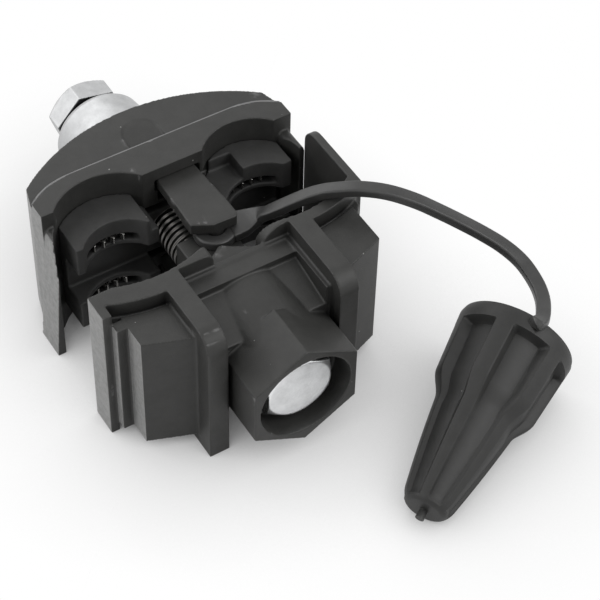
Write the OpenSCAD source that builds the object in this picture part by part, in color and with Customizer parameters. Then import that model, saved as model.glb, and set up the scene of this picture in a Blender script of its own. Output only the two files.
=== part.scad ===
// Insulation piercing connector: two moulded jaws drawn together by one bolt and a shear nut.
// Toothed contact plates in both jaws bite through the insulation of a main and a tap cable,
// and a tethered rubber cap closes the cut end of the tap cable.
// The cables run along Z, the bolt runs along Y, and the main groove lies on the -X side.
// Depths along the bolt are measured from the front face of the hexagonal boss.

/* [Jaws] */
// Height of the jaws along the cables
jaw_h = 32; // [30:0.5:40]
// Width over the sides of the upper jaw
jaw_w = 52.4; // [51:0.2:58]
// Closing travel of the upper jaw
stroke = 11; // [8:0.1:12]
// Distance of each cable groove from the bolt
groove_x = 14.7; // [14.3:0.1:15.2]
// Clearance of sliding faces
slide_gap = 0.25; // [0.15:0.05:0.4]

/* [Lower jaw] */
// Across flats of the hexagonal boss
boss_af = 21; // [20:0.5:23]
// Diameter of the socket for the wrench
socket_d = 18.6; // [17:0.1:19.2]
// Depth of the wrench socket
socket_depth = 5.4; // [3:0.2:6.5]
// Thickness of the two ribs beside the boss
rib_t = 4; // [3:0.2:5]
// Gap between the boss and each rib
rib_gap = 0.9; // [0.5:0.1:1.4]
// Depth at which the ribs start
rib_front = 7.5; // [6:0.5:9]
// Rounding of the ribs' front corners
rib_round = 4; // [2:0.5:6]
// Width of the outer blocks
block_w = 9; // [7:0.5:9]
// Depth at which the blocks start, at their inner edge
block_front = 11.6; // [10:0.2:13]
// Rake of the blocks' front faces
block_rake = 20.5; // [10:0.5:25]
// Set-back of the blocks from the end faces
block_inset = 2.4; // [0.8:0.2:2.6]
// Depth of the web behind the blocks
web_front = 20.8; // [19:0.2:21.5]
// Depth of the bottom of the cable seats
seat_y = 25.7; // [25:0.1:27]
// Wall under the main cable's seat
main_wall = 4; // [3:0.2:4.4]
// Wall under the tap cable's seat
tap_wall = 2.4; // [2:0.1:3.4]
// Groove between the seat walls and the blocks
wall_groove = 0.9; // [0.5:0.1:1.5]
// Radius of the main cable seat
main_seat_r = 24; // [22:0.5:28]
// Radius of the tap cable seat
tap_seat_r = 22; // [20:0.5:26]
// Thickness of the guard wall on the tap side
guard_t = 1.7; // [1.4:0.1:2.5]
// Height of the guard wall above the seat
guard_h = 18.3; // [14:0.1:18.5]
// Rounding of the guard wall's corners
guard_round = 3.5; // [2:0.1:5]
// Recess between the seat wall and the blocks, along the cable
end_recess = 3.4; // [2:0.2:5]
// Half width of the column around the bolt
column_hw = 5.3; // [5:0.1:5.5]
// Set-back of the housing between the ribs from the end faces
housing_inset = 3.2; // [2.4:0.1:4]
// Depth of the housing's sunk panels
panel_depth = 0.8; // [0.5:0.1:1.4]
// Fall of the sunk panels towards the boss, in degrees
panel_slope = 14; // [10:1:18]
// Width of the rim round the sunk panels
panel_rim = 1; // [0.8:0.1:2]

/* [Upper jaw] */
// Radius of the arched crown
arch_r = 39.3; // [36:0.1:45]
// Height of the crown over the ceiling between the grooves
crown_h = 17.5; // [16.5:0.1:20]
// Half width of the arched crown
arch_hw = 25; // [23.6:0.2:25.6]
// Height of the lip over the ceiling
lip_h = 7.1; // [6:0.1:8]
// How far the lip stands proud of the crown's end face
lip_proud = 1; // [0.4:0.1:1.4]
// Thickness of the side leaves
leaf_t = 2.5; // [1.8:0.1:2.8]
// Reach of the side leaves below the ceiling
leaf_drop = 5.7; // [4:0.1:6]
// Height of the side leaves along the cables
leaf_h = 28.5; // [24:0.5:29]
// Radius of the main groove's arch
main_arch_r = 11.8; // [11.3:0.1:12.4]
// Rise of the main groove's arch over the ceiling
main_arch_rise = 4.2; // [3.4:0.1:4.6]
// Radius of the tap groove's arch
tap_arch_r = 10; // [9.4:0.1:10.6]
// Rise of the tap groove's arch over the ceiling
tap_arch_rise = 3.6; // [3:0.1:4.2]

/* [Guide tongues] */
// Width of the guide tongues
tongue_w = 7.7; // [7:0.1:8]
// Thickness of the guide tongues
tongue_t = 2.5; // [1.8:0.1:2.8]
// Length of tongue inside the upper jaw when it is open
tongue_grip = 2.2; // [1.2:0.1:2.6]
// Skin of the upper jaw outside the tongue pocket
pocket_skin = 1.85; // [1.2:0.05:2]
// Diameter of the peg that carries the tongue and the strap's eye
peg_d = 3.4; // [2.6:0.1:4]

/* [Seals and contact plates] */
// Rubber above the cable in the upper seals
upper_seal_t = 7; // [6:0.1:7.6]
// Radius of the cable seat in the upper seals
upper_seal_r = 8; // [7.4:0.1:9]
// Reach of the upper seals' legs below the ceiling
seal_drop = 6.2; // [5:0.1:6.6]
// Height of the lower seals over the cable seats
lower_seal_rise = 1.3; // [0.8:0.1:1.6]
// Depth of the lower seals' pockets under the cable seats
lower_seal_sink = 3.1; // [2.4:0.1:3.4]
// Thickness of the contact plates
plate_t = 1.6; // [1.2:0.1:1.8]
// Half length of the contact plates
plate_hw = 20.4; // [19.6:0.1:21]
// Height of the contact plates' bridge
plate_bridge = 3; // [2.4:0.1:3.2]
// Width of each toothed head
head_w = 10.6; // [9:0.2:11]
// Teeth on each head
teeth = 4; // [3:1:5]
// Spacing of the teeth
tooth_pitch = 2; // [1.6:0.1:2.2]
// How far the teeth stand out of the seal
tooth_reach = 0.8; // [0.3:0.1:1.5]
// Rubber left over the lower teeth until they pierce it
tooth_cover = 0.4; // [0.2:0.1:0.8]

/* [Bolt and nut] */
// Thread diameter
bolt_d = 8; // [7.6:0.1:8.2]
// Across flats of the bolt head
head_af = 13; // [12.4:0.1:13.6]
// Height of the bolt head
head_h = 5.3; // [4.6:0.1:6]
// Depth of the bolt head's face in the boss
head_sink = 2; // [1.2:0.1:3]
// Across flats of the nut's shear head
nut_af = 13; // [12.4:0.1:13.6]
// Height of the nut's shear head
nut_hex_h = 4.7; // [4:0.1:6]
// Diameter of the nut's base
nut_base_d = 20.6; // [19:0.2:23]
// Length of the nut's bell under the shear neck
nut_bell_h = 14.6; // [13.5:0.1:17]
// Diameter of the shear neck
neck_d = 10.8; // [10:0.1:11.4]
// Length of thread that the nut holds when the jaws are open
thread_grip = 8.4; // [6:0.1:8.6]

/* [Strap and cap] */
// Outer diameter of the strap's eye
eye_d = 8.2; // [7.4:0.1:8.6]
// Thickness of the strap
strap_t = 2.2; // [1.8:0.1:2.4]
// Width of the strap
strap_w = 3.2; // [2.6:0.1:3.6]
// Length of the end cap
cap_len = 38.5; // [34:0.5:42]
// Outer radius of the cap's mouth
cap_mouth_r = 11.4; // [10.4:0.1:12.4]
// Outer radius of the cap's tip
cap_tip_r = 4.2; // [3.6:0.1:5]
// Length of the narrow nose of the cap
cap_nose = 17.5; // [14:0.5:19.5]
// Wall of the cap between its rails
cap_wall = 1.1; // [0.9:0.1:1.6]
cap_tip_wall = 3; // [2:0.1:4]
// Height of the cap's rails
rail_h = 1.3; // [0.6:0.1:1.5]
// Number of rails on the cap
rails = 6; // [5:1:8]

/* [Hidden] */
$fn = 96;

jaw_black = [0.13, 0.13, 0.13];
rubber_black = [0.2, 0.2, 0.2];
zinc = [0.82, 0.83, 0.84];
tin = [0.72, 0.7, 0.66];

eps = 0.01;
touch_gap = 0.1;
mid_z = jaw_h / 2;
jaw_hw = jaw_w / 2;

// Depth of the bolt head's seat and radii around the bolt
head_seat = head_sink + head_h;
bolt_hole_r = bolt_d / 2 + 0.2;
slide_hole_r = bolt_d / 2 + 0.3;

// Stations across the lower jaw
rib_in = boss_af / 2 + rib_gap;
rib_out = rib_in + rib_t;
block_out = rib_out + block_w;
guard_in = jaw_hw + slide_gap;
guard_out = guard_in + guard_t;
flange_in = guard_out - 1.8;
flange_top = seat_y + 1.6;
flange_front = web_front + 0.7;
barrel_r = boss_af / 2 + 2.1;
rib_back = seat_y - 0.2;

// Stack of tongue, eye and column along the cable, measured from the middle of the jaws
eye_play = 0.15;
tongue_top = mid_z - lip_proud - pocket_skin - slide_gap;
tongue_low = tongue_top - tongue_t;
column_half = tongue_low - eye_play - strap_t;
upper_seal_half = mid_z - 5.4;
plate_in = bolt_hole_r + 1;
plate_mid = plate_in + plate_t / 2;

// Lower seals, which reach past the plates in them, and the length of cuts that pass right through
seal_edge = 0.65;
seal_half = plate_in + plate_t + seal_edge;
cut_run = jaw_w;

// Stations along the bolt, with the peg and its tongue set off towards the tap side
peg_x = 2;
peg_rise = 9.5;
tongue_left = 4.4;
tongue_lean = 0.8;
tongue_back = 0.5;
eye_window = 4;
eye_window_tap = 5.8;
window_round = 2;
window_round_tap = 5;
peg_y = seat_y + peg_rise;
column_top = peg_y + peg_d / 2;
tongue_end = peg_y - 1.8;
shut_gap = 0.5;
ceiling_y = column_top + shut_gap + stroke;
tongue_tip = ceiling_y + tongue_grip;
nut_seat_h = crown_h - 0.9;
nut_y = ceiling_y + nut_seat_h + touch_gap;
neck_h = 0.8;
nut_len = nut_bell_h + neck_h + nut_hex_h;
overall = nut_y + nut_len;
bolt_tip = nut_y + thread_grip;
nut_turn = 12.3;

// Seals: their reach across the jaw
leaf_lean = 0.5;
seal_out = jaw_hw - 0.4 - leaf_t - leaf_lean - touch_gap;
seal_in = column_hw + 0.4;

// Steps in the upper seals that pass the eye and the strap when the jaws are shut
main_seal_step = 1.8;
tap_seal_step = 8;
seal_step_h = peg_y + 0.42 * eye_d + 0.3 - column_top - shut_gap;

// Cap's place on the surface that the jaws stand on
cap_tip_at = [9.5, -24.3];
cap_turn = 30.2;
cap_round = 1;
cap_tilt = atan((cap_mouth_r - cap_tip_r) / (cap_len - cap_round));
cap_base_z = (cap_tip_r - cap_round * tan(cap_tilt)) * cos(cap_tilt);
cap_rim = 4.5;
cap_shoulder = cap_nose + 5;
cap_axis = [cos(cap_tilt) * cos(cap_turn), cos(cap_tilt) * sin(cap_turn), sin(cap_tilt)];
cap_up = [-sin(cap_tilt) * cos(cap_turn), -sin(cap_tilt) * sin(cap_turn), cos(cap_tilt)];
cap_side = [sin(cap_turn), -cos(cap_turn), 0];
function cap_line(s) = cap_tip_r + (cap_mouth_r - cap_tip_r) * (s - cap_round) / (cap_len - cap_round);
function cap_point(s, a, r) =
    [cap_tip_at[0], cap_tip_at[1], cap_base_z] + s * cap_axis + r * (cos(a) * cap_up + sin(a) * cap_side);

// Root of the strap on the cap's rim: distance from the mouth and turn from the top
root_back = 1.2;
root_turn = 21;

// Strap's route from the eye's tail to its root on the cap
strap_route = [
    [10.6, 34.2, mid_z + column_half + strap_t / 2], [11.8, 32.5, 27.2], [13.5, 31.3, 28.7], [15.5, 30.1, 30.2],
    [17.7, 28.8, 31.7], [19.7, 27.5, 32.8], [21.5, 26, 33.7], [25.3, 23.2, 34.5], [29.3, 20.3, 34.1],
    [33.3, 17.3, 32.5], [37, 14.8, 30], [40.5, 12.4, 27.4], [43.8, 9.8, 24.9], [46.6, 6.7, 22.7], [48.4, 2.9, 21],
    [48.3, -1.7, 20], [46.8, -5.5, 20], [44.7, -8.6, 20.6], [42.9, -10.4, 21.2],
    cap_point(cap_len - root_back - 0.5, root_turn, cap_mouth_r + 0.4 * strap_t)];
strap_start = strap_route[0];
tail_flare = 1.4;
function strap_flare(i) = max(1, tail_flare - 0.2 * i);

// Puts a piece in the frame whose origin is under the middle of the part
module placed() {
    translate([0, -overall / 2, 0]) children();
}

// Turns a cylinder or a profile of revolution to lie along the bolt, starting at depth y
module along_bolt(y) {
    translate([0, y, mid_z]) rotate([-90, 0, 0]) children();
}

// Repeats its children at both ends of the jaws, mirrored about the middle
module both_ends() {
    for (side = [0, 1]) translate([0, 0, mid_z]) mirror([0, 0, side]) children();
}

module hex_prism(af, h) {
    rotate([0, 0, 30]) cylinder(d = af / cos(30), h = h, $fn = 6);
}

// Outline of a seat wall: a ring of the wall's thickness round the seat's radius
module seat_ring(x, r, wall) {
    translate([x, seat_y + r]) difference() {
        circle(r + wall);
        circle(r);
    }
}

// Both seat walls: the main one ends at the flange, and both stop short of the bolt's housing
module seat_wall_outline() {
    intersection() {
        seat_ring(-groove_x, main_seat_r, main_wall);
        polygon([[-guard_out, 0], [-rib_in, 0], [-rib_in, rib_back - 0.4], [0, rib_back - 0.4], [0, seat_y + 5],
            [-groove_x, seat_y + 5], [-groove_x, flange_top], [-guard_out, flange_top]]);
    }
    intersection() {
        seat_ring(groove_x, tap_seat_r, tap_wall);
        polygon([[0, rib_back - 0.4], [rib_in, rib_back - 0.4], [rib_in, 0], [guard_out, 0],
            [guard_out, seat_y + 5], [0, seat_y + 5]]);
    }
}

// Outline of the web that joins the blocks, the flange and the seat walls
module web_outline() {
    difference() {
        translate([-flange_in - eps, web_front]) square([2 * flange_in + 2 * eps, seat_y + 3 - web_front]);
        translate([-groove_x, seat_y + main_seat_r]) circle(main_seat_r + main_wall / 2);
        translate([groove_x, seat_y + tap_seat_r]) circle(tap_seat_r + tap_wall / 2);
    }
}

// Corner left off the tap side below the guard wall
module tap_corner() {
    polygon([[guard_out + 1, seat_y + 1.3], [guard_out, seat_y + 1.3], [block_out + 0.6, web_front + 2.2],
        [block_out + 0.1, web_front - 1], [guard_out + 1, web_front - 1]]);
}

// Outline of an outer block, whose back follows the seat wall of the radius given
module block_outline(seat_r, wall) {
    drop = block_w * tan(block_rake);
    difference() {
        polygon([[rib_out - eps, seat_y + 2], [block_out, seat_y + 2], [block_out, block_front + drop],
            [rib_out - eps, block_front]]);
        translate([groove_x, seat_y + seat_r]) circle(seat_r + wall + wall_groove);
    }
}

module blocks() {
    h = jaw_h - 2 * block_inset;
    translate([0, 0, block_inset]) {
        linear_extrude(h) block_outline(tap_seat_r, tap_wall);
        mirror([1, 0, 0]) linear_extrude(h) block_outline(main_seat_r, main_wall);
        translate([-flange_in - 0.2, web_front - 1.2, 0]) cube([flange_in - block_out + 0.4, 2.2, h]);
    }
}

// Side view of a rib, rounded at its upper front corner
module rib_outline() {
    difference() {
        translate([rib_front, 0]) square([rib_back - rib_front, jaw_h]);
        translate([rib_front - eps, jaw_h - rib_round + eps]) difference() {
            square([rib_round, rib_round]);
            translate([rib_round, 0]) circle(rib_round);
        }
    }
}

module ribs() {
    for (side = [0, 1]) mirror([side, 0, 0])
        translate([rib_in, 0, 0]) rotate([90, 0, 90]) linear_extrude(rib_t) rib_outline();
}

// Housing between the ribs: a framed panel falls towards the boss on each end, and the bolt's barrel swells out of it
module housing() {
    frame_z = mid_z - housing_inset;
    start = rib_front + 3;
    difference() {
        translate([-rib_in - eps, start, mid_z - frame_z]) cube([2 * rib_in + 2 * eps, rib_back - start, 2 * frame_z]);
        both_ends() translate([-rib_in + panel_rim, rib_back - panel_rim, frame_z - panel_depth])
            rotate([panel_slope, 0, 0]) translate([0, -2 * rib_back, 0])
            cube([2 * (rib_in - panel_rim), 2 * rib_back, frame_z]);
    }
    along_bolt(start - 2.5) cylinder(r1 = boss_af / 2, r2 = barrel_r, h = rib_back - start + 2.4);
}

// Guide tongue seen along the cables: it leans out over the strap and is cut back round the peg
module tongue_outline() {
    left = peg_x - tongue_left;
    right = peg_x + tongue_w - tongue_left;
    polygon([[left, tongue_tip], [right, tongue_tip], [right + tongue_lean, column_top + 0.8],
        [right + tongue_lean, tongue_end + 0.8], [right + tongue_lean - 0.6, tongue_end],
        [peg_x - 1.2, tongue_end + 0.2], [left - tongue_back, peg_y + 0.4]]);
}

module tongues() {
    both_ends() {
        translate([0, 0, tongue_low]) linear_extrude(tongue_t) tongue_outline();
        translate([peg_x, peg_y, column_half - eps]) cylinder(d = peg_d, h = tongue_low - column_half + 2 * eps, $fn = 48);
    }
}

// Wall that guards the open tap groove, with its free corners rounded
module guard_wall() {
    corner = seat_y + guard_h - guard_round;
    difference() {
        translate([guard_in, seat_y + 1, 0]) cube([guard_t, guard_h - 1, jaw_h]);
        both_ends() translate([guard_in - 1, corner, mid_z - guard_round]) difference() {
            cube([guard_t + 2, guard_round + 1, guard_round + 1]);
            translate([-1, 0, 0]) rotate([0, 90, 0]) cylinder(r = guard_round, h = guard_t + 4);
        }
    }
}

// Pocket of a lower seal between the inner and outer stations given, on the side given
module lower_pocket(side) {
    mirror([side, 0, 0])
        translate([seal_in, seat_y - lower_seal_sink, mid_z - seal_half - touch_gap])
        cube([seal_out - seal_in, 20, 2 * (seal_half + touch_gap)]);
}

// Room over the strap's eye, cut through the seat walls, whose ends are left rounded beside it
module eye_room() {
    low = column_half + strap_t + touch_gap;
    main_end = -eye_window - window_round;
    tap_end = eye_window_tap + window_round_tap;
    translate([0, rib_back - 1, 0]) difference() {
        translate([main_end, 0, low]) cube([tap_end - main_end, cut_run, mid_z]);
        translate([main_end, -1, low - 1]) cube([window_round, cut_run + 2, mid_z - window_round - low + 1]);
        translate([main_end, -1, mid_z - window_round]) rotate([-90, 0, 0]) cylinder(r = window_round, h = cut_run + 2);
        translate([tap_end, -1, mid_z - window_round_tap]) rotate([-90, 0, 0]) cylinder(r = window_round_tap, h = cut_run + 2);
    }
}

module lower_jaw() {
    color(jaw_black) difference() {
        union() {
            difference() {
                union() {
                    linear_extrude(jaw_h) seat_wall_outline();
                    translate([0, 0, end_recess]) linear_extrude(jaw_h - 2 * end_recess) web_outline();
                }
                translate([0, 0, -1]) linear_extrude(jaw_h + 2) tap_corner();
                both_ends() {
                    eye_room();
                    translate([-column_hw, peg_y - eye_d / 2 - 0.3, column_half])
                        cube([2 * column_hw + 1.5, 20, mid_z]);
                }
            }
            translate([-guard_out, flange_front, 0]) cube([guard_out - flange_in, flange_top - flange_front, jaw_h]);
            guard_wall();
            blocks();
            ribs();
            housing();
            along_bolt(0) hex_prism(boss_af, rib_front + 4);
            translate([-column_hw, rib_back - 2, mid_z - column_half])
                cube([2 * column_hw, column_top - rib_back + 2, 2 * column_half]);
            tongues();
        }
        along_bolt(-eps) cylinder(d = socket_d, h = socket_depth);
        along_bolt(socket_depth - 1) hex_prism(head_af + 2 * touch_gap, head_seat - socket_depth + 1);
        along_bolt(head_seat - eps) cylinder(r = bolt_hole_r, h = column_top);
        for (side = [0, 1]) lower_pocket(side);
        lower_bridge_room();
    }
}

// Body of the upper jaw: the arched crown with its sides chamfered, and its ceiling at depth 0
module upper_body() {
    side_top = 4.4;
    arch_end = crown_h - arch_r + sqrt(arch_r * arch_r - arch_hw * arch_hw);
    taper = (jaw_hw - arch_hw) / (arch_end - side_top);
    peak = crown_h + 3;
    peak_hw = jaw_hw - taper * (peak - side_top);
    intersection() {
        translate([0, crown_h - arch_r, 0]) cylinder(r = arch_r, h = jaw_h, $fn = 192);
        linear_extrude(jaw_h) polygon([[-jaw_hw, 0], [jaw_hw, 0], [jaw_hw, side_top], [peak_hw, peak],
            [-peak_hw, peak], [-jaw_hw, side_top]]);
    }
}

// Domed top of a leaf of the half thickness r, centred on x
function leaf_dome(x, r) = [for (a = [0:30:180]) [x + r * cos(a), leaf_h - r + r * sin(a)]];

// Side leaves with domed tops: the one on the main side leans outwards towards its foot
module leaves() {
    out = jaw_hw - 0.4;
    inside = out - leaf_t;
    r = leaf_t / 2;
    main_r = 1.25 * r;
    main_inside = inside - leaf_lean;
    main_leaf = concat(leaf_dome(-main_inside - main_r, main_r), [[-guard_out + 0.1, 0], [-inside - 1.3, 0]]);
    tap_leaf = concat(leaf_dome(inside + r, r), [[inside, 0], [out, 0]]);
    for (outline = [main_leaf, tap_leaf])
        translate([0, 1, 0]) rotate([90, 0, 0]) linear_extrude(leaf_drop + 1) polygon(outline);
}

// Area of the crown above the lip's ridge line, which falls away towards both sides
module crown_area() {
    reach = jaw_hw + 1;
    polygon([[reach, lip_h - 4], [0.84 * jaw_hw, lip_h - 1], [0.66 * jaw_hw, lip_h], [-0.66 * jaw_hw, lip_h],
        [-0.84 * jaw_hw, lip_h - 1], [-reach, lip_h - 4], [-reach, 2 * crown_h], [reach, 2 * crown_h]]);
}

// Shallow thumb-shaped ramp above each lip, deepest at the lip
module thumb_ramp() {
    r = 3.7;
    rise = 7.2;
    deep = 0.7;
    intersection() {
        translate([0, lip_h + 0.05, mid_z - lip_proud - 3]) linear_extrude(6) {
            translate([-r, 0]) square([2 * r, rise - r]);
            translate([0, rise - r]) circle(r);
        }
        translate([0, lip_h, mid_z - lip_proud - deep]) rotate([atan(deep / rise), 0, 0])
            translate([-2 * r, -4, 0]) cube([4 * r, rise + 8, 4]);
    }
}

module upper_jaw() {
    pocket_w = tongue_back + tongue_w + tongue_lean + 2 * slide_gap;
    pocket_end = tongue_grip + stroke + 0.6;
    relief_end = peg_y + eye_d / 2 + stroke + 0.4 - ceiling_y;
    relief_w = strap_start[0] - peg_x + eye_d / 2 + 1;
    color(jaw_black) translate([0, ceiling_y, 0]) difference() {
        union() {
            upper_body();
            leaves();
        }
        translate([-groove_x, main_arch_rise - main_arch_r, -1]) cylinder(r = main_arch_r, h = jaw_h + 2);
        translate([groove_x, tap_arch_rise - tap_arch_r, -1]) cylinder(r = tap_arch_r, h = jaw_h + 2);
        both_ends() translate([0, 0, mid_z - lip_proud]) linear_extrude(lip_proud + 1) crown_area();
        along_bolt(-1) cylinder(r = slide_hole_r, h = crown_h + 2);
        along_bolt(nut_seat_h) cylinder(d = nut_base_d + 1.4, h = crown_h);
        both_ends() {
            translate([peg_x - tongue_left - tongue_back - slide_gap, -1, tongue_low - slide_gap])
                cube([pocket_w, pocket_end + 1, tongue_t + 2 * slide_gap]);
            translate([peg_x - eye_d / 2 - 0.4, -1, column_half - 0.4])
                cube([relief_w, relief_end + 1, strap_t + 0.6]);
            translate([-plate_hw - touch_gap, -1, plate_in - touch_gap])
                cube([2 * (plate_hw + touch_gap), upper_bridge_h + plate_bridge + touch_gap + 1, plate_t + 2 * touch_gap]);
            thumb_ramp();
        }
    }
}

// Hexagon bolt with a chamfered head
module bolt() {
    chamfer_r = head_af / 2 - 0.2;
    chamfer_h = head_af * tan(30);
    color(zinc) {
        intersection() {
            along_bolt(head_sink) hex_prism(head_af, head_h);
            along_bolt(head_sink) cylinder(r1 = chamfer_r, r2 = chamfer_r + head_af, h = chamfer_h);
            along_bolt(head_sink) cylinder(d = 2 * head_af, h = head_h);
        }
        along_bolt(head_seat - 1) rotate_extrude() polygon([[0, 0], [bolt_d / 2, 0],
            [bolt_d / 2, bolt_tip - head_seat], [bolt_d / 2 - 0.8, bolt_tip - head_seat + 1],
            [0, bolt_tip - head_seat + 1]]);
    }
}

// Shear nut: a bell that stays on the bolt, and a hexagon that snaps off at the neck
module shear_nut() {
    bore_r = bolt_d / 2 + 0.05;
    base_r = nut_base_d / 2;
    color(zinc) difference() {
        union() {
            along_bolt(nut_y) rotate_extrude() polygon([[0, 0], [base_r, 0], [base_r, 1], [base_r - 0.7, 0.55 * nut_bell_h],
                [base_r - 1.2, nut_bell_h - 2.4], [base_r - 1.9, nut_bell_h - 1.4], [nut_af / 2 + 0.1, nut_bell_h],
                [0, nut_bell_h]]);
            along_bolt(nut_y + nut_bell_h - eps) cylinder(d = neck_d, h = neck_h + 2 * eps);
            intersection() {
                along_bolt(nut_y + nut_bell_h + neck_h) rotate([0, 0, nut_turn - 30]) hex_prism(nut_af, nut_hex_h);
                along_bolt(nut_y + nut_bell_h + neck_h) cylinder(r1 = nut_af, r2 = nut_af / 2 - 0.2, h = nut_hex_h);
            }
        }
        along_bolt(nut_y - eps) cylinder(r = bore_r, h = nut_len + 2 * eps);
    }
}

// Slots for both contact plates in a seal, seen along the cables
module plate_slots() {
    both_ends() translate([groove_x - head_w / 2 - touch_gap, -cut_run, plate_in - touch_gap])
        cube([head_w + 2 * touch_gap, 2 * cut_run, plate_t + 2 * touch_gap]);
}

// Upper seal on the +X side: arch of the groove given, hollowed for the cable and stepped beside the bolt
module upper_seal(arch_r, rise, step) {
    notch = plate_in - 1.2;
    color(rubber_black) translate([0, ceiling_y, 0]) difference() {
        translate([0, 0, mid_z - upper_seal_half]) linear_extrude(2 * upper_seal_half) difference() {
            intersection() {
                translate([groove_x, rise - arch_r]) circle(arch_r - touch_gap);
                translate([seal_in, -seal_drop]) square([seal_out - seal_in, 2 * seal_drop]);
            }
            translate([groove_x, rise - upper_seal_t - upper_seal_r]) circle(upper_seal_r);
        }
        plate_slots();
        translate([0, -seal_drop - 1, mid_z - notch]) cube([2 * groove_x, seal_drop, 2 * notch]);
        both_ends() translate([seal_in - 1, -seal_drop - 1, column_half - 0.2])
            cube([step + 1, seal_drop + 1 + seal_step_h, mid_z]);
    }
}

module upper_main_seal() {
    mirror([1, 0, 0]) upper_seal(main_arch_r, main_arch_rise, main_seal_step);
}

module upper_tap_seal() {
    upper_seal(tap_arch_r, tap_arch_rise, tap_seal_step);
}

// Lower seal on the +X side: a pad that fills its pocket and follows the seat given
module lower_seal(seat_r) {
    floor_y = seat_y - lower_seal_sink;
    color(rubber_black) difference() {
        translate([0, 0, mid_z - seal_half]) linear_extrude(2 * seal_half) difference() {
            translate([seal_in + touch_gap, floor_y]) square([seal_out - seal_in - 2 * touch_gap, 2 * lower_seal_sink]);
            translate([groove_x, seat_y + lower_seal_rise + seat_r]) circle(seat_r);
        }
        translate([0, floor_y, 0]) plate_slots();
        lower_bridge_room();
    }
}

// Room for both bridges of the lower contact plates
module lower_bridge_room() {
    both_ends() translate([-plate_hw - touch_gap, lower_bridge_y - touch_gap, plate_in - touch_gap])
        cube([2 * (plate_hw + touch_gap), plate_bridge + 2 * touch_gap, plate_t + 2 * touch_gap]);
}

module lower_main_seal() {
    mirror([1, 0, 0]) lower_seal(main_seat_r);
}

module lower_tap_seal() {
    lower_seal(tap_seat_r);
}

// Row of pyramid-edged teeth that point along +Y, centred on the origin
module tooth_row(h) {
    for (i = [0:teeth - 1]) translate([(i - (teeth - 1) / 2) * tooth_pitch, 0])
        polygon([[-tooth_pitch / 2, 0], [tooth_pitch / 2, 0], [0.1, h], [-0.1, h]]);
}

// Contact plate seen along the cables: a bridge past the bolt with a toothed head in each groove
module plate_outline(head_h, tooth_h) {
    translate([-plate_hw, 0]) square([2 * plate_hw, plate_bridge]);
    for (x = [-groove_x, groove_x]) translate([x, 0]) {
        translate([-head_w / 2, 0]) square([head_w, head_h]);
        translate([0, head_h - eps]) tooth_row(tooth_h);
    }
}

tooth_h = 1.8;
lower_bridge_y = seat_y - main_wall - 0.2;
lower_tooth_tip = seat_y + lower_seal_rise - tooth_cover;
upper_bridge_h = 4.9;
upper_tooth_tip = main_arch_rise - upper_seal_t - tooth_reach;

module lower_plate(side) {
    color(tin) both_ends_one(side) translate([0, lower_bridge_y, plate_in]) linear_extrude(plate_t)
        plate_outline(lower_tooth_tip - tooth_h - lower_bridge_y, tooth_h);
}

module upper_plate(side) {
    top = upper_bridge_h + plate_bridge;
    color(tin) both_ends_one(side) translate([0, ceiling_y + top, plate_in]) linear_extrude(plate_t)
        mirror([0, 1]) plate_outline(top - upper_tooth_tip - tooth_h, tooth_h);
}

// Puts its children at one end of the jaws: 0 is the upper end and 1 the lower
module both_ends_one(side) {
    translate([0, 0, mid_z]) mirror([0, 0, side]) children();
}

module upper_front_plate() {
    upper_plate(0);
}

module upper_rear_plate() {
    upper_plate(1);
}

module lower_front_plate() {
    lower_plate(0);
}

module lower_rear_plate() {
    lower_plate(1);
}

// Eye that sits on the peg under the upper tongue, with a tail that narrows to the strap
module strap_eye() {
    tail = strap_start;
    half = strap_w * tail_flare / 2;
    reach = tail[0] - peg_x;
    color(rubber_black) translate([0, 0, mid_z + column_half]) difference() {
        union() {
            translate([peg_x, peg_y, 0]) cylinder(d = eye_d, h = strap_t);
            linear_extrude(strap_t) polygon([[peg_x + 0.5, peg_y + 0.42 * eye_d], [peg_x + 0.4 * reach, peg_y + 0.4 * eye_d],
                [peg_x + 0.75 * reach, tail[1] + 1.25 * half], [tail[0], tail[1] + half], [tail[0], tail[1] - half],
                [peg_x + 0.75 * reach, tail[1] - 1.2 * half], [peg_x + 0.4 * reach, peg_y - 0.45 * eye_d],
                [peg_x + 0.5, peg_y - 0.42 * eye_d]]);
        }
        translate([peg_x, peg_y, -1]) cylinder(d = peg_d + 2 * touch_gap, h = strap_t + 2, $fn = 48);
    }
}

// Sections of the strap: eight corners of a flat oval, square to the route and level across it
strap_sides = 8;
function unit(v) = v / norm(v);
function route_dir(i) = unit(strap_route[min(i + 1, len(strap_route) - 1)] - strap_route[max(i - 1, 0)]);
function route_side(i) = unit(cross([0, 0, 1], route_dir(i)));
function section_point(i, k) =
    let (a = 360 * (k + 0.5) / strap_sides, s = route_side(i), u = cross(route_dir(i), s))
    strap_route[i] + s * (strap_flare(i) * strap_w / 2 / cos(22.5) * cos(a)) + u * (strap_t / 2 / cos(22.5) * sin(a));

module cap_strap() {
    rings = len(strap_route);
    n = strap_sides;
    points = [for (i = [0:rings - 1]) for (k = [0:n - 1]) section_point(i, k)];
    sides = [for (i = [0:rings - 2]) for (k = [0:n - 1])
        [i * n + k, (i + 1) * n + k, (i + 1) * n + (k + 1) % n, i * n + (k + 1) % n]];
    ends = [[for (k = [0:n - 1]) k], [for (k = [n - 1:-1:0]) (rings - 1) * n + k]];
    color(rubber_black) polyhedron(points, concat(sides, ends));
}

// Half section of the cap: tip at the origin, mouth up
module cap_profile(less) {
    polygon([[0, less], [cap_tip_r - cap_round - less, less], [cap_tip_r - less, cap_round + less],
        [cap_line(cap_nose) - 0.9 - less, cap_nose], [cap_line(cap_shoulder) - less, cap_shoulder],
        [cap_mouth_r - less, cap_len], [0, cap_len]]);
}

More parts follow.
